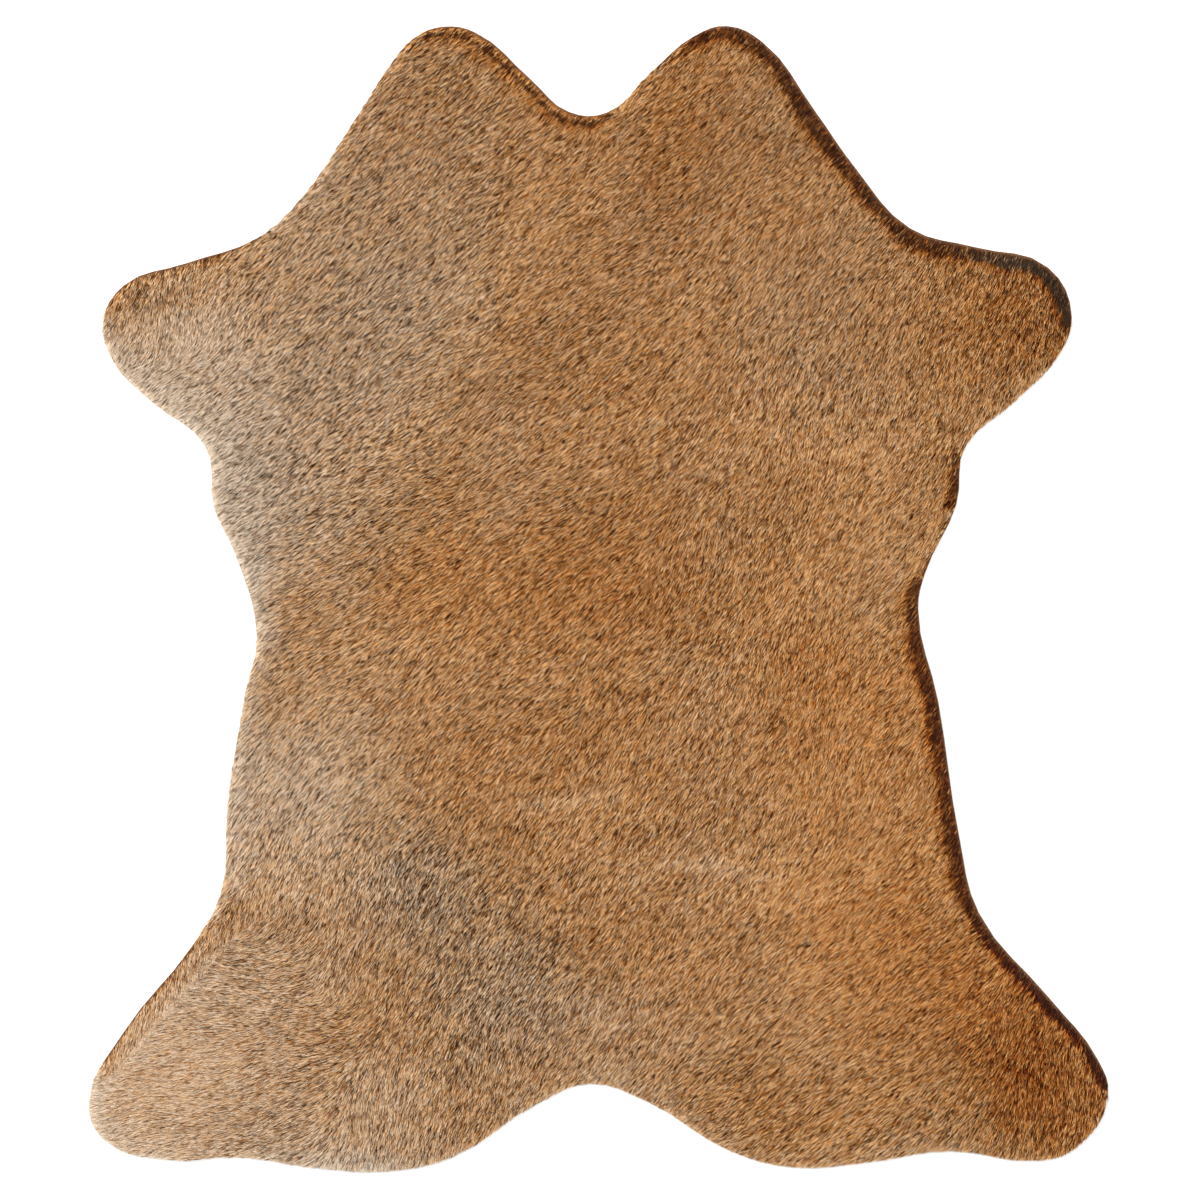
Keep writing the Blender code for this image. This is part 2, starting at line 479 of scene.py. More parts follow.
# %% Lean and length of each lock
BODY_WANDER, BODY_WANDER_SIZE = math.radians(7.0), 90.0 * MM
TUFT_WANDER, TUFT_WANDER_SIZE = math.radians(7.0), 20.0 * MM
OWN_LEAN = math.radians(4.0)
SHORTEST, LONGEST = 0.7, 1.25   # of the usual length

angle = turn_at_partings(root_x, root_y, lie_angle(root_x, root_y))
angle += BODY_WANDER * smooth_noise(root_x, root_y, BODY_WANDER_SIZE, 11)
angle += TUFT_WANDER * smooth_noise(root_x, root_y, TUFT_WANDER_SIZE, 12)
angle += OWN_LEAN * random.standard_normal(count)
length = LOCK_LENGTH * random.uniform(SHORTEST, LONGEST, count)
lean = unit(angle)
print("lock length, mm: %.1f to %.1f" % (length.min() / MM, length.max() / MM))

# %% Draw locks back from the edge and trim them
OVERHANG = 1.5 * MM     # how far tips reach past the trimmed edge, at most about twice this
LEAST_FACING = 0.35     # a lock that runs along the edge is drawn back as if it faced it this much
BARE_RIM_AFTER = 0.2 * MM
TRIMMED_RIM = 6.0 * MM  # locks rooted this near to the edge, leaning away from it, are shorter
TRIMMED_BY = 0.5        # right at the edge they lose this part of their length

tip_inside, tip_outward = to_the_rim(root_x + lean[:, 0] * length, root_y + lean[:, 1] * length)
over = np.maximum(-tip_inside - OVERHANG * random.uniform(0.0, 2.0, count), 0.0)
draw_back = over / np.maximum(np.sum(lean * tip_outward, axis=1), LEAST_FACING)
root_x -= lean[:, 0] * draw_back
root_y -= lean[:, 1] * draw_back
root_inside, root_outward = to_the_rim(root_x, root_y)
kept = root_inside > BARE_RIM_AFTER
root_x, root_y, lean, length = root_x[kept], root_y[kept], lean[kept], length[kept]
root_inside, root_outward = root_inside[kept], root_outward[kept]
count = len(root_x)
from_edge = np.sum(lean * root_outward, axis=1) < 0.0
length *= 1.0 - TRIMMED_BY * from_edge * np.clip(1.0 - root_inside / TRIMMED_RIM, 0.0, 1.0)
print("locks after drawing back: %d" % count)

# %% [markdown]
# ## Height of the coat
#
# The coat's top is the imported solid's own upper side, with its swells and packing folds. Rays are
# dropped on it from above, on a coarse grid. The fall towards the rim is a quarter round, as in the
# solid.

# %% Read the coat's height
RIM_WIDTH = 20.0 * MM
HEIGHT_GRID = 14.0 * MM
USUAL_HEIGHT = 8.0 * MM
LOW_RIM = 5.0 * MM      # a place of the solid that is lower than this is on its falling rim


def height_above(x, y):
    """Height of the solid's upper side; open places and the low rim get the usual height."""
    hit = coat_surface.ray_cast((x, y, 1.0), (0.0, 0.0, -1.0))[0]
    return hit.z if hit is not None and hit.z > LOW_RIM else USUAL_HEIGHT


coat_heights = np.vectorize(height_above)(*grid_places(HEIGHT_GRID))


def coat_top(x, y, inside):
    """Height of the coat's top where a place lies this far inside the rim."""
    still_to_go = 1.0 - np.clip(inside / RIM_WIDTH, 0.0, 1.0)
    full = blend_grid(coat_heights, HEIGHT_GRID, x, y)
    return CUT_EDGE + (full - CUT_EDGE) * np.sqrt(1.0 - still_to_go ** 2)


print("coat height, mm: %.1f to %.1f" % (coat_heights.min() / MM, coat_heights.max() / MM))

# %% [markdown]
# ## Colour of the coat
#
# A brown brindled cow is not one brown: dark and cream hairs grow among the tan ones, and the tone
# drifts over the body. Each lock is also painted darker at its root, as painted shade between the
# locks, and paler at its tip, partly the hair's own colour and partly painted highlight. Two numbers
# hold the colour for every lock. Its tone goes from 0, nearly black, to 1, cream, and its greyness
# from 0, rusty, to 1, ash. The tables below give the drifts that show from a step away, as soft
# patches.

# %% Patches of tone and greyness
BASE_TONE = 0.645
BASE_GREY = 0.42
PATCHES = (
    # name, x mm, y mm, radius x mm, radius y mm, added tone, added greyness, added contrast
    ("pale left ribs", -605, 170, 125, 240, 0.32, 0.44, 0.1),
    ("left ribs", -440, 200, 190, 180, 0.04, 0.16, 0.8),
    ("pale left fore leg", -700, 430, 120, 130, 0.13, 0.30, -0.1),
    ("left shoulder", -380, 500, 210, 230, 0.22, 0.23, 1.3),
    ("below the left shoulder", -345, 275, 110, 60, -0.03, 0.00, 0.0),
    ("root of the left fore leg", -520, 390, 100, 80, 0.03, 0.05, 0.0),
    ("sandy left hind leg", -640, -730, 200, 180, 0.25, 0.40, -0.45),
    ("left flank", -450, -290, 160, 160, 0.37, 0.28, 0.9),
    ("pale above the left flank", -392, -142, 80, 50, 0.05, 0.00, 0.0),
    ("brown right of the left flank", -322, -362, 55, 80, -0.045, -0.03, 0.0),
    ("pale left waist", -410, 45, 120, 60, 0.08, 0.13, 0.0),
    ("left thigh", -460, -530, 160, 120, 0.00, 0.18, 0.0),
    ("inside the left thigh", -322, -560, 55, 85, 0.05, 0.00, 0.0),
    ("below the left thigh", -510, -775, 60, 90, -0.10, 0.00, 0.0),
    ("left buttock", -370, -790, 150, 120, 0.09, 0.20, 0.1),
    ("ash of the loin", -270, -430, 90, 90, -0.11, 0.17, 1.3),
    ("ash of the rump", -160, -560, 120, 150, -0.07, 0.14, 1.4),
    ("rusty rump", 35, -520, 110, 100, -0.01, -0.08, 0.0),
    ("tail", 20, -660, 170, 100, 0.08, 0.12, 0.1),
    ("left belly", -400, -60, 160, 80, 0.13, 0.08, 0.3),
    ("rusty belly", -80, 20, 300, 90, 0.01, -0.15, 0.0),
    ("brown left of the belly", -135, -50, 70, 50, -0.04, 0.00, 0.0),
    ("rusty loin", 30, -185, 130, 90, -0.02, -0.11, 0.0),
    ("rusty back", 95, 140, 95, 65, -0.01, -0.11, 0.0),
    ("ashy left of the back", -135, 230, 65, 140, 0.02, 0.12, 0.0),
    ("brown withers", 50, 370, 65, 90, -0.04, 0.00, 0.0),
    ("right ribs", 470, 150, 130, 170, 0.14, 0.00, 0.1),
    ("right shoulder", 360, 440, 180, 150, 0.10, 0.03, 0.3),
    ("rusty root of the right fore leg", 515, 460, 120, 110, -0.01, -0.09, 0.0),
    ("brown right armpit", 515, 225, 55, 65, -0.05, 0.00, 0.0),
    ("golden right belly", 375, 45, 110, 50, 0.075, -0.03, 0.0),
    ("rusty right flank", 440, -250, 150, 240, 0.06, -0.17, -0.1),
    ("loin", 30, -300, 220, 110, 0.03, 0.04, 0.0),
    ("rusty right thigh", 450, -560, 150, 130, 0.08, -0.30, 0.0),
    ("golden right flank", 325, -330, 130, 230, 0.065, 0.00, 0.0),
    ("golden right rump", 370, -600, 80, 140, 0.085, 0.07, 0.0),
    ("golden right of the loin", 235, -190, 70, 80, 0.045, -0.02, 0.0),
    ("golden right loin", 340, -430, 110, 90, 0.05, 0.06, 0.0),
    ("rusty right hind leg", 650, -640, 110, 140, -0.13, -0.34, -0.1),
    ("rusty right hind foot", 730, -790, 110, 130, -0.16, -0.30, -0.2),
    ("right fore leg", 690, 430, 120, 110, -0.20, -0.20, -0.1),
    ("right buttock", 280, -800, 150, 80, -0.02, -0.04, 0.0),
    ("right neck", 190, 780, 100, 130, 0.04, -0.06, 0.0),
    ("brown right neck", 130, 700, 55, 130, -0.05, -0.10, 0.0),
    # Painted shade: the darker tone along the neck fold stands for the fold's shade.
    ("painted shade along the neck fold", -160, 665, 55, 110, -0.10, 0.00, 0.0),
    ("left neck lobe", -230, 800, 110, 90, -0.09, -0.02, 0.3),
    ("brown right of the belly", 335, -88, 70, 40, -0.05, -0.06, 0.0),
    ("pale spot on the loin", 165, -412, 110, 16, 0.15, 0.12, 0.0),
    ("brown spot beside it", -43, -421, 60, 40, -0.08, 0.00, 0.0),
    ("pale spot on the back", -50, -315, 110, 16, 0.13, 0.12, 0.0),
    ("dark top of the left fore leg", -700, 485, 90, 30, -0.20, -0.05, 0.0),
    ("dark spot on the left flank", -312, -398, 16, 9, -0.30, 0.20, -0.5),
    ("dark whorl in the left fore leg", -640, 378, 10, 8, -0.34, 0.10, -0.5),
    ("dark mark on the left hind leg", -632, -812, 12, 5, -0.26, 0.00, -0.3),
)
PATCH_WANDER, PATCH_WANDER_SIZE = 22.0 * MM, 60.0 * MM   # how far a patch's border strays
PATCH_FALL = 1.5           # a patch is even in its middle, and higher values make it more so


def patch_sums(x, y):
    """Added tone, greyness and contrast at each place."""
    x = x + PATCH_WANDER * smooth_noise(x, y, PATCH_WANDER_SIZE, 28)
    y = y + PATCH_WANDER * smooth_noise(x, y, PATCH_WANDER_SIZE, 29)
    sums = np.zeros((3, len(x)))
    for _, centre_x, centre_y, radius_x, radius_y, *added in PATCHES:
        away = ((x / MM - centre_x) / radius_x) ** 2 + ((y / MM - centre_y) / radius_y) ** 2
        sums += np.array(added)[:, None] * np.exp(-away ** PATCH_FALL)
    return sums


print("patches of colour:", len(PATCHES))

# %% [markdown]
# The hide was folded in a parcel, and along its old folds the hair stands a little apart; the shade
# that falls into these folds is painted as a darker tone. Each crease is a line with a width and the
# tone that it adds or takes away. Two small ones come from the skin itself, which puckers where the
# left fore leg meets the chest, and their shade is painted too. The paler lines are raised hair with
# a painted highlight: a little above that pucker, and in a broken ring on the left flank, where the
# coat turns in a whorl.

# %% Creases: painted shade and painted highlight
CREASES = (
    # name, (start x, y) mm, (end x, y) mm, half width mm, added tone (painted shade below 0, painted
    # highlight above)
    ("along the neck", (-150, 770), (-150, 420), 11, -0.24),
    ("across the shoulders", (-520, 262), (520, 262), 12, -0.07),
    ("across the belly", (-480, -64), (450, -64), 16, -0.05),
    ("across the flanks", (-520, -421), (520, -421), 14, -0.04),
    ("from the withers to the right armpit", (160, 447), (555, 270), 8, -0.15),
    ("down the left rump", (-240, -420), (-215, -800), 12, -0.08),
    ("at the left armpit, outer", (-695, 392), (-610, 362), 5, -0.14),
    ("at the left armpit, inner", (-550, 335), (-440, 309), 4, -0.16),
    ("raised hair above it", (-550, 342), (-440, 316), 4, 0.12),
    ("left of the ring on the left flank", (-488, -274), (-465, -178), 12, 0.18),
    ("top of the ring", (-445, -168), (-361, -154), 10, 0.18),
    ("right of the ring", (-275, -128), (-152, -281), 9, 0.14),
    ("bottom of the ring", (-470, -385), (-350, -370), 10, 0.12),
    ("outer edge of the left hind leg", (-760, -740), (-625, -535), 8, -0.14),
)
CREASE_WANDER = 45.0 * MM   # creases grow fainter and stronger over about this length,
CREASE_MEAN, CREASE_SWING = 0.6, 0.4   # round this part of their tone and by this much


def crease_shade_and_highlight(x, y):
    """Painted shade and highlight that the creases add to the tone at each place."""
    tone = np.zeros(len(x))
    for _, start, end, half_width, add_tone in CREASES:
        run = (end[0] - start[0], end[1] - start[1])
        length2 = run[0] ** 2 + run[1] ** 2
        off_x, off_y = x / MM - start[0], y / MM - start[1]
        part = np.clip((off_x * run[0] + off_y * run[1]) / length2, 0.0, 1.0)
        away = (off_x - part * run[0]) ** 2 + (off_y - part * run[1]) ** 2
        tone += add_tone * np.exp(-away / half_width ** 2)
    return tone * (CREASE_MEAN + CREASE_SWING * smooth_noise(x, y, CREASE_WANDER, 27))


print("creases:", len(CREASES))

# %% [markdown]
# Hairs of one colour grow in small streaks along the lie of the hair, so some of the noise is
# stretched along it. The stretch follows the lie square by square, because one turn for the whole
# hide would be wrong in its legs.

# %% A frame that follows the lie of the hair
LIE_SQUARE = 60.0 * MM


def along_and_across(x, y):
    """Places measured along and across the lie of the hair at the middle of their square."""
    middle_x = (np.floor(x / LIE_SQUARE) + 0.5) * LIE_SQUARE
    middle_y = (np.floor(y / LIE_SQUARE) + 0.5) * LIE_SQUARE
    turn = turn_at_partings(middle_x, middle_y, lie_angle(middle_x, middle_y))
    return x * np.cos(turn) + y * np.sin(turn), y * np.cos(turn) - x * np.sin(turn)


along, across = along_and_across(root_x, root_y)
print("along the lie: %.2f to %.2f m" % (along.min(), along.max()))

# %% [markdown]
# The coat's colour is built up in layers, each a small step of tone or greyness. First come the
# patches and creases. Soft clouds of noise and small tufts along the lie of the hair break them up,
# and every lock strays a little by itself.

# %% Tone and greyness over the body
CLOUDS = (
    # name, size mm, added tone, added greyness, seed
    ("broad light and dark", 120.0, 0.03, 0.00, 21),
    ("small light and dark", 25.0, 0.03, 0.00, 30),
    ("broad grey and brown", 150.0, 0.00, 0.08, 24),
)
TUFTS = (
    # name, size across mm, times longer along the lie, added tone, added greyness, seed
    ("light and dark tufts", 6.0, 2.0, 0.05, 0.00, 22),
    ("grey and brown tufts", 2.5, 3.0, 0.00, 0.14, 25),
)
OWN_GREYNESS = 0.13

patch_tone, patch_grey, patch_contrast = patch_sums(root_x, root_y)
tone = BASE_TONE + patch_tone + crease_shade_and_highlight(root_x, root_y)
grey = BASE_GREY + patch_grey
for _, size, add_tone, add_grey, seed in CLOUDS:
    cloud = smooth_noise(root_x, root_y, size * MM, seed)
    tone += add_tone * cloud
    grey += add_grey * cloud
for _, size, stretch, add_tone, add_grey, seed in TUFTS:
    tuft = smooth_noise(along / stretch, across, size * MM, seed)
    tone += add_tone * tuft
    grey += add_grey * tuft
grey += OWN_GREYNESS * random.standard_normal(count)
print("patches and clouds: tone %.2f, greyness %.2f on average" % (tone.mean(), grey.mean()))

# %% [markdown]
# Next come the hairs that differ from their neighbours. Thin streaks, about one lock wide and six
# times as long, follow the lie of the hair. About a fifth of the locks are dark and a seventh are
# cream. Their sum is kept apart for now, because the hide's bare edges will show less of it.

# %% Streaks, dark hairs and cream hairs
STREAK_WIDTH = 0.95 * MM
STREAK_STRETCH = 6.0
STREAK_TONE = 0.55
DARK_HAIR_SHARE, DARK_HAIR_TONE = 0.22, -0.36
CREAM_HAIR_SHARE, CREAM_HAIR_TONE = 0.14, 0.32
OWN_TONE = 0.28
CONTRAST = 1.2     # patches add to this

draw = random.uniform(0.0, 1.0, count)
streaks = STREAK_TONE * smooth_noise(along / STREAK_STRETCH, across, STREAK_WIDTH, 23)
streaks += np.where(draw < DARK_HAIR_SHARE, DARK_HAIR_TONE, 0.0)
streaks += np.where(draw > 1.0 - CREAM_HAIR_SHARE, CREAM_HAIR_TONE, 0.0)
streaks += OWN_TONE * random.standard_normal(count)
print("streaks: tone varies by %.2f" % (streaks.std() * CONTRAST))

# %% [markdown]
# Along a parting the hair stands up a little and catches the light, painted in as a paler tone. The
# fold along the neck is also a border: left of it the hair is suddenly paler and greyer.

# %% Painted highlight along the partings, and the border along the neck
PARTING_HIGHLIGHT = 0.12
PARTING_REACH = 8.0 * MM
NECK_BORDER = ((-150.0, 415.0), (-150.0, 840.0))   # its ends in mm
BORDER_WIDTH = 12.0 * MM
BORDER_REACH = 120.0 * MM    # the paler hair goes over into the rest within this
BORDER_ENDS = 80.0 * MM
BORDER_TONE, BORDER_GREY = 0.03, 0.07

for _, start, end, _, _ in PARTINGS:
    across, off_end = beside_parting(root_x, root_y, start, end)
    tone += PARTING_HIGHLIGHT * np.exp(-(across ** 2 + off_end ** 2) / PARTING_REACH ** 2)

across, off_end = beside_parting(root_x, root_y, *NECK_BORDER)
left_of_fold = np.clip(across / BORDER_WIDTH + 0.5, 0.0, 1.0)
left_of_fold *= np.exp(-(across / BORDER_REACH) ** 2)
left_of_fold *= np.clip(1.0 - off_end / BORDER_ENDS, 0.0, 1.0)
tone += BORDER_TONE * left_of_fold
grey += BORDER_GREY * left_of_fold
print("locks left of the fold along the neck:", int((left_of_fold > 0.5).sum()))

# %% [markdown]
# Where the hair leans away from a trimmed edge, nothing covers its roots, and the edge shows as a
# dark band with a rusty inner side: painted shade, the shade that lies on the bared roots. That
# happens along the right and upper edges. The hair of the pale left side is pale down to its roots,
# so there the band is only a thin line. It is narrower where the hair runs nearly along the edge, and
# on the right hind leg. On the left neck lobe and in the neck notch it is a thin dark line of painted
# shade with lighter hair outside it.

# %% Where the edge bares its roots, shown as painted shade
PALE_ROOTED_SIDE = -420.0 * MM   # left of this the roots are pale
DARK_ROOTED_SIDE = -270.0 * MM   # right of this they are dark
PALE_SIDE_STRENGTH = 0.25        # how much of the band the pale side has
BARE_FROM, BARE_RATE = 0.1, 6.0  # how far the hair leans away where roots start to show, and how fast

side = (root_x - PALE_ROOTED_SIDE) / (DARK_ROOTED_SIDE - PALE_ROOTED_SIDE)
facing = np.sum(lean * root_outward, axis=1)
facing_away = np.clip((-facing - BARE_FROM) * BARE_RATE, 0.0, 1.0)
facing_away *= np.clip(side, PALE_SIDE_STRENGTH, 1.0)
print("locks that lean away from the edge:", int((facing_away > 0.5).sum()))

# %% Width of the band of painted shade
BAND_WIDTH = 14.5 * MM
BAND_ENDS, BAND_FADES = 1.15, 0.4   # in widths: where it has ended, and over what it fades
EDGE_WANDER, EDGE_WANDER_SIZE = 0.3, 40.0 * MM
NARROWEST = 0.5                  # of its width, where the hair runs along the edge
PALE_SIDE_WIDTH = 0.3            # of its width, on the pale side
HIND_LEG_STARTS = -420.0 * MM    # below this the band grows narrower,
HIND_LEG_FADES = 100.0 * MM      # over this length
HIND_LEG_NARROWER = 0.45         # and by this part of its width

edge_wander = 1.0 + EDGE_WANDER * smooth_noise(root_x, root_y, EDGE_WANDER_SIZE, 26)
narrower = 1.0 - HIND_LEG_NARROWER * np.clip((HIND_LEG_STARTS - root_y) / HIND_LEG_FADES, 0.0, 1.0)
narrower *= np.clip(NARROWEST - facing, NARROWEST, 1.0)
into_band = root_inside / (BAND_WIDTH * narrower * edge_wander * np.clip(side, PALE_SIDE_WIDTH, 1.0))
band_shade = facing_away * np.clip((BAND_ENDS - into_band) / BAND_FADES, 0.0, 1.0)
print("locks in the dark band:", int((band_shade > 0.5).sum()))

# %% The thin line on the left neck lobe
LOBE_END, LOBE_FADES = 70.0 * MM, 60.0 * MM   # left of this the upper edge has the thin line
LOBES_START = 600.0 * MM         # above this lie the neck lobes
LINE_INSIDE = 6.5 * MM
LINE_WIDTH = 3.5 * MM
LINE_OUTSIDE = 2.5 * MM          # the lighter hair outside the line reaches this far in
LINE_OUTSIDE_TONE = 0.20

thin_line = facing_away * np.exp(-((root_inside - LINE_INSIDE) / LINE_WIDTH) ** 2)
on_lobe = np.clip((LOBE_END - root_x) / LOBE_FADES, 0.0, 1.0) * (root_y > LOBES_START)
band_shade = band_shade * (1.0 - on_lobe) + thin_line * on_lobe
tone += LINE_OUTSIDE_TONE * on_lobe * facing_away * np.exp(-(root_inside / LINE_OUTSIDE) ** 2)
print("locks in the thin line:", int((thin_line * on_lobe > 0.5).sum()))

# %% Paint the shade into the band
BAND_SHADE, BAND_GREY = 0.55, 0.06
BAND_EVENNESS = 0.5              # this part of the streaks is lost in the band
RUSTY_AT, RUSTY_REACH = 1.1, 0.4     # the rusty inner side, in widths of the band
RUSTY_RIM_REACH = 0.2            # and the rusty rim, in the same measure
# The rusty rim's added tone is painted light, thrown up from the white floor onto the hair at the
# very edge; its rusty hue is the hair's own.
RUSTY_TONE, RUSTY_RIM_TONE = -0.07, 0.08
RUSTY_GREY = -0.30

rusty_inside = facing_away * np.exp(-((into_band - RUSTY_AT) / RUSTY_REACH) ** 2)
rusty_rim = facing_away * np.exp(-(into_band / RUSTY_RIM_REACH) ** 2)
tone += streaks * (CONTRAST + patch_contrast) * (1.0 - BAND_EVENNESS * band_shade)
# Painted shade: the band's tone is darkened where the bared roots lie in shade.
tone += RUSTY_TONE * rusty_inside + RUSTY_RIM_TONE * rusty_rim - BAND_SHADE * band_shade
grey += RUSTY_GREY * (rusty_inside + rusty_rim) + BAND_GREY * band_shade
print("rusty locks:", int((rusty_inside + rusty_rim > 0.5).sum()))

# %% Charcoal on the right fore leg
CHARCOAL_AT = 670.0 * MM         # here the band is charcoal instead of brown
CHARCOAL_REACH = 90.0 * MM
FORE_LEGS_START = 400.0 * MM     # above this lie the upper edges of the fore legs
CHARCOAL_GREY = 0.80

charcoal = band_shade * np.exp(-((root_x - CHARCOAL_AT) / CHARCOAL_REACH) ** 2)
charcoal *= root_y > FORE_LEGS_START
grey += CHARCOAL_GREY * charcoal
print("charcoal locks:", int((charcoal > 0.5).sum()))

# %% [markdown]
# Where the tips reach out over the edge instead, they are thin and the white floor shines through;
# that light is painted in, so they pale and grow greyer, most of all along the left side, nearest the
# light.

# %% Painted light on the tips over the edge
PALE_RIM_WIDTH = 40.0 * MM
PALE_RIM_TONE = 0.21
PALE_RIM_SHARES = (0.2, 1.0)   # of that tone, on the right and on the left
PALE_RIM_GREYS = (0.2, 0.55)   # added greyness, on the right and on the left
TONE_LIMITS = (0.03, 0.97)     # the tips and roots of a lock still differ at these
GREY_LIMITS = (0.02, 0.98)

# Painted light: tips over the edge are paled and greyed as if lit through by the white floor, most on
# the left.
painted_light_rim = np.clip(facing, 0.0, 1.0) * np.exp(-(root_inside / PALE_RIM_WIDTH) ** 2)
tone += PALE_RIM_TONE * painted_light_rim * np.clip(1.2 - side, *PALE_RIM_SHARES)
grey += painted_light_rim * np.clip(0.8 - 0.6 * side, *PALE_RIM_GREYS)
tone = np.clip(tone, *TONE_LIMITS)
grey = np.clip(grey, *GREY_LIMITS)
print("tone %.2f, greyness %.2f on average" % (tone.mean(), grey.mean()))

# %% [markdown]
# ## The locks themselves
#
# From above, a lock is a slim blade: it rises from the skin in a point, is widest where it bends
# over, and ends in another point. One triangle with a shoulder on its left or right is enough for
# that, so the budget goes into more and finer locks. Their slopes differ a little from one to the
# next, which gives the coat its light and dark sides. A particle system or curves would look finer
# close up, but a mesh is what a game or a viewer can load.

# %% Shape every lock
# The added tone paints shade at the root, between the locks, and a paler tip that is partly the
# hair's colour and partly painted highlight.
BLADE = (
    # corner, part of the length, part of the width, part of the rise, added tone
    ("root", 0.0, 0.0, 0.0, -0.34),
    ("shoulder", 0.55, 1.0, 0.75, -0.05),
    ("tip", 1.0, 0.15, 1.0, 0.16),
)
SLIMMEST, WIDEST = 0.65, 1.3   # of the usual width
SHOULDER_LIFT = 0.7 * MM   # the most that a shoulder lies above or below its place
TIP_LIFT = 0.9 * MM
LOWEST_CORNER = 0.4 * MM   # no corner sinks nearer to the floor than this
CHART_WIDTH = 0.005        # width of a lock on the colour chart
CHART_LIMITS = (0.01, 0.99)   # the chart's own edges stay free

width = LOCK_WIDTH * random.uniform(SLIMMEST, WIDEST, count)
width *= random.choice((-1.0, 1.0), count)
lifts = {"root": 0.0,
         "shoulder": SHOULDER_LIFT * random.uniform(-1.0, 1.0, count),
         "tip": TIP_LIFT * random.uniform(-1.0, 1.0, count)}
aside = np.stack([-lean[:, 1], lean[:, 0]], axis=1)
skin_height = SKIN_AT_RIM + SKIN_PER_COAT * (coat_top(root_x, root_y, root_inside) - CUT_EDGE)
tip_inside = root_inside - length * np.sum(lean * root_outward, axis=1)
rise = coat_top(root_x, root_y, np.maximum(np.minimum(tip_inside, root_inside), 0.0)) - skin_height
corners = np.empty((count, 3, 3), np.float32)
charted = np.empty((count, 3, 2), np.float32)
for k, (corner, part_length, part_width, part_rise, add_tone) in enumerate(BLADE):
    x = root_x + lean[:, 0] * length * part_length + aside[:, 0] * width * part_width
    y = root_y + lean[:, 1] * length * part_length + aside[:, 1] * width * part_width
    height = skin_height + rise * part_rise + lifts[corner]
    corners[:, k] = np.stack([x, y, np.maximum(height, LOWEST_CORNER)], axis=1)
    charted[:, k, 0] = grey + CHART_WIDTH * (part_length - 0.5 + 0.5 * part_width)
    charted[:, k, 1] = np.clip(tone + add_tone, *CHART_LIMITS)
print("locks rise to %.1f mm" % (corners[:, :, 2].max() / MM))

# %% [markdown]
# The locks are shared out over a few pieces, because a piece should stay under 200,000 triangles.
# Each piece is a strip of the coat. Its UV map is a colour chart, not a place on the hide: greyness
# runs across the chart and tone runs up it, and every lock lies where its colour is. The map is named
# OFBake.

# %% Build the coat's pieces
PIECES = 5
CHART = "OFBake"


def coat_piece(name, chosen):
    """One mesh of the chosen locks."""
    corner_count = len(chosen) * 3
    mesh = bpy.data.meshes.new(name)
    mesh.vertices.add(corner_count)
    mesh.vertices.foreach_set("co", corners[chosen].ravel())
    mesh.loops.add(corner_count)
    mesh.loops.foreach_set("vertex_index", np.arange(corner_count, dtype=np.int32))
    mesh.polygons.add(len(chosen))
    mesh.polygons.foreach_set("loop_start", np.arange(0, corner_count, 3, dtype=np.int32))
    mesh.update(calc_edges=True)
    chart = mesh.uv_layers.new(name=CHART)
    chart.data.foreach_set("uv", charted[chosen].ravel())
    piece = bpy.data.objects.new(name, mesh)
    bpy.context.scene.collection.objects.link(piece)
    return piece


strips = np.array_split(np.argsort(root_y, kind="stable"), PIECES)
coat = [coat_piece("coat_%d" % (i + 1), strip) for i, strip in enumerate(strips)]
for piece in coat:
    print(piece.name, "triangles:", len(piece.data.polygons))

# %% [markdown]
# ### Hair material
#
# Cow hair is a dull, slightly waxy fibre: an index of refraction near 1.55, a roughness of about
# 0.6 along the lock, and little gloss, because the fine scales of each hair break it up. The colour
# is read off the chart. Three ramps run from dark to pale in fox red, golden brown and ash, and the
# place across the chart blends from the first to the second to the third.

# %% Make the hair material
FOX_REDS = ((0.0, "#1A0602"), (0.2, "#4E1705"), (0.42, "#913E10"), (0.6, "#C06A1E"),
            (0.8, "#D68A38"), (1.0, "#EAB46E"))
GOLDEN_BROWNS = ((0.0, "#1B0B04"), (0.2, "#52250B"), (0.42, "#985A1C"), (0.6, "#C27F35"),
                 (0.8, "#DAA35E"), (1.0, "#EDCA98"))
ASHY_BROWNS = ((0.0, "#1C130D"), (0.2, "#503D2B"), (0.42, "#947555"), (0.6, "#BF9C78"),
               (0.8, "#DCC4A8"), (1.0, "#F1E5D4"))
GOLDEN_AT = 0.4    # place across the chart where the hair is all golden brown

hair, hair_shader = new_material("brown cow hair", roughness=0.6)
hair_shader.inputs["IOR"].default_value = 1.55
hair_shader.inputs["Specular IOR Level"].default_value = 0.1
chart_place = add_node(hair, "ShaderNodeUVMap", [("uv_map", CHART)])
chart_axes = add_node(hair, "ShaderNodeSeparateXYZ", links=[("Vector", chart_place.outputs["UV"])])
browns = []
for stops in (FOX_REDS, GOLDEN_BROWNS, ASHY_BROWNS):
    ramp = add_node(hair, "ShaderNodeValToRGB", links=[("Fac", chart_axes.outputs["Y"])])
    set_ramp(ramp, stops)
    browns.append(ramp.outputs["Color"])
colour = browns[0]
for first, last, brown in ((0.0, GOLDEN_AT, browns[1]), (GOLDEN_AT, 1.0, browns[2])):
    share = add_node(hair, "ShaderNodeMapRange", [("From Min", first), ("From Max", last)],
                     [("Value", chart_axes.outputs["X"])])
    blend = add_node(hair, "ShaderNodeMixRGB", links=[
        ("Fac", share.outputs["Result"]), ("Color1", colour), ("Color2", brown)])
    colour = blend.outputs["Color"]
hair.node_tree.links.new(colour, hair_shader.inputs["Base Color"])
print("colour ramps in %s: %d" % (hair.name, len(browns)))

# %% Dress the coat and attach it to the root
for piece in coat:
    piece.data.materials.append(hair)
    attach(piece, "root")
print("sheet: %s, with %d pieces of coat" % (skin.name, len(coat)))

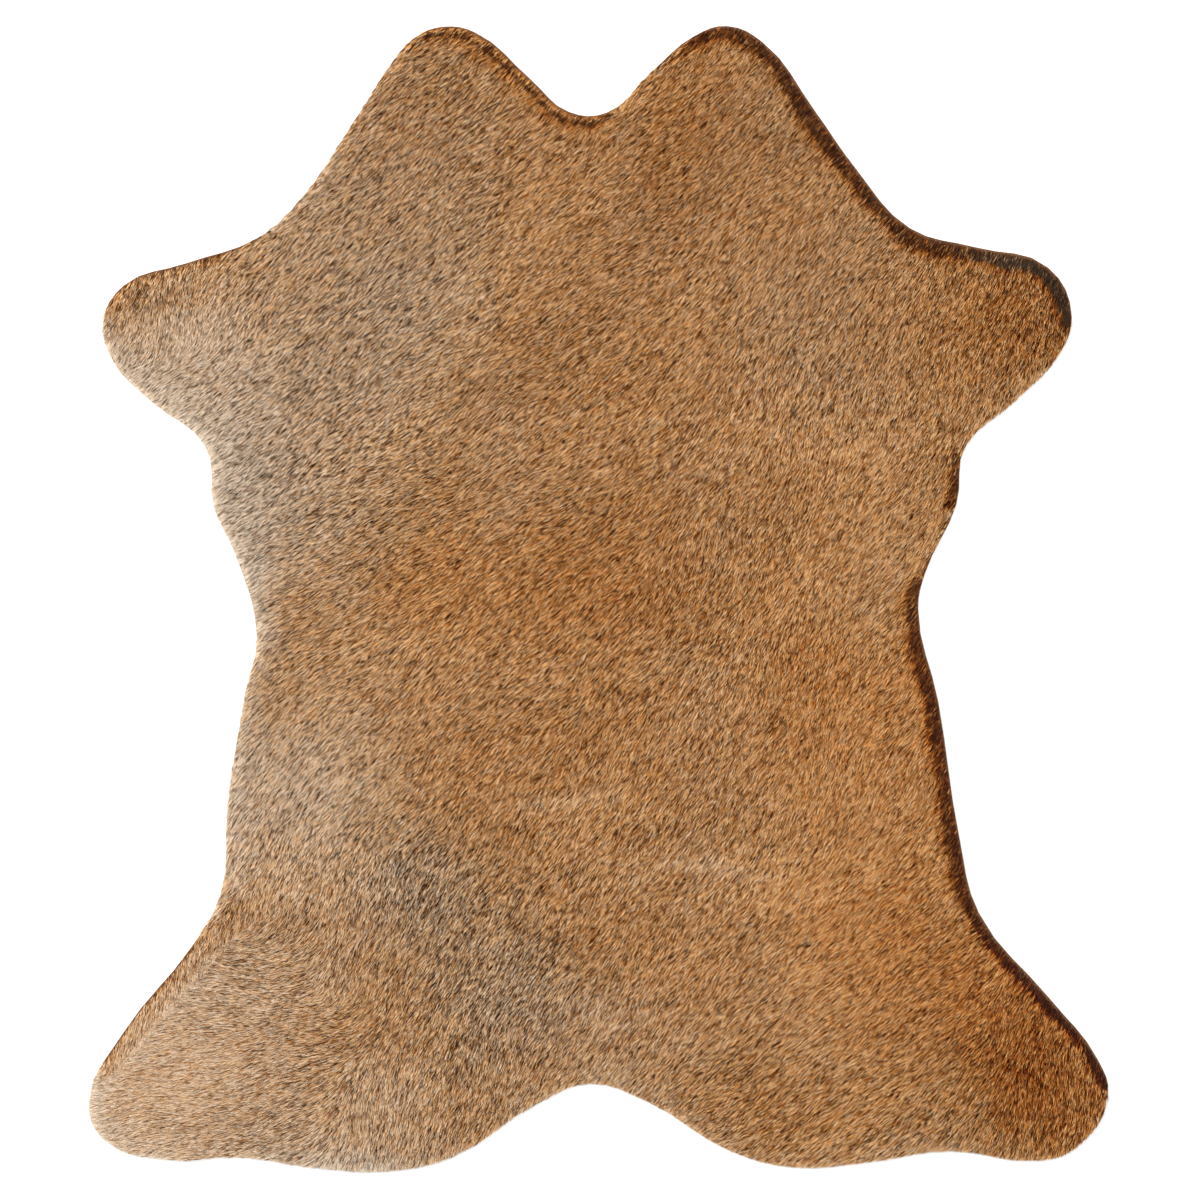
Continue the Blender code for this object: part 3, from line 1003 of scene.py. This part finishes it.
# %% [markdown]
# ## Floor, light and camera
#
# The rug lies on a plain white floor that melts into a white background. A large soft light hangs
# overhead. A smaller one stands low in the upper left, across the lie of the hair, so that each
# lock has a light and a dark side.

# %% Floor
FLOOR_REACH = 12.0   # metres from the middle to each side

floor_mesh = bpy.data.meshes.new("studio_floor")
floor_bm = bmesh.new()
bmesh.ops.create_grid(floor_bm, x_segments=1, y_segments=1, size=FLOOR_REACH)
floor_bm.to_mesh(floor_mesh)
floor_bm.free()
floor = bpy.data.objects.new("studio_floor", floor_mesh)
bpy.context.scene.collection.objects.link(floor)
paint, paint_shader = new_material("matt white floor paint", roughness=0.9)
paint_shader.inputs["Base Color"].default_value = linear("#F4F4F3")
floor_mesh.materials.append(paint)
print("floor reaches %.0f m each way" % max(vertex.co.x for vertex in floor_mesh.vertices))


# %% Lights
def soft_light(name, place, size, power):
    """A square area light at a place, turned to the middle of the rug."""
    lamp = bpy.data.lights.new(name, "AREA")
    lamp.size = size
    lamp.energy = power
    holder = bpy.data.objects.new(name, lamp)
    holder.location = place
    holder.rotation_euler = (-holder.location).to_track_quat("-Z", "Y").to_euler()
    bpy.context.scene.collection.objects.link(holder)
    return holder


overhead = soft_light("overhead", place=(0.0, 0.3, 5.0), size=5.0, power=245.0)
low_light = soft_light("from_the_upper_left", place=(-4.6, 3.4, 3.4), size=1.6, power=390.0)
world = bpy.data.worlds.new("studio")
world.use_nodes = True
world.node_tree.nodes["Background"].inputs["Color"].default_value = linear("#FFFFFF")
world.node_tree.nodes["Background"].inputs["Strength"].default_value = 0.40
bpy.context.scene.world = world
bpy.context.scene.view_settings.view_transform = "Standard"
print("lights, W: %.0f, %.0f" % (overhead.data.energy, low_light.data.energy))

# %% [markdown]
# The photograph looks straight down. One of its 1200 pixels covers 1.55 mm of floor, and the hide
# sits a few millimetres off its middle. The lens is a long one, so the camera stands far up.

# %% Camera
PIXEL = 1.55 * MM
PHOTO_PIXELS = 1200
HIDE_CENTRE_PIXEL = (598.0, 598.5)
LENS = 85.0 * MM
SENSOR = 36.0 * MM

camera_data = bpy.data.cameras.new("camera")
camera_data.lens = LENS / MM
camera_data.sensor_width = SENSOR / MM
camera = bpy.data.objects.new("camera", camera_data)
camera_height = PIXEL * PHOTO_PIXELS * LENS / SENSOR
camera.location = (
    (PHOTO_PIXELS / 2 - HIDE_CENTRE_PIXEL[0]) * PIXEL,
    (HIDE_CENTRE_PIXEL[1] - PHOTO_PIXELS / 2) * PIXEL,
    camera_height,
)
bpy.context.scene.collection.objects.link(camera)
bpy.context.scene.camera = camera
print("camera %.2f m up" % camera_height)
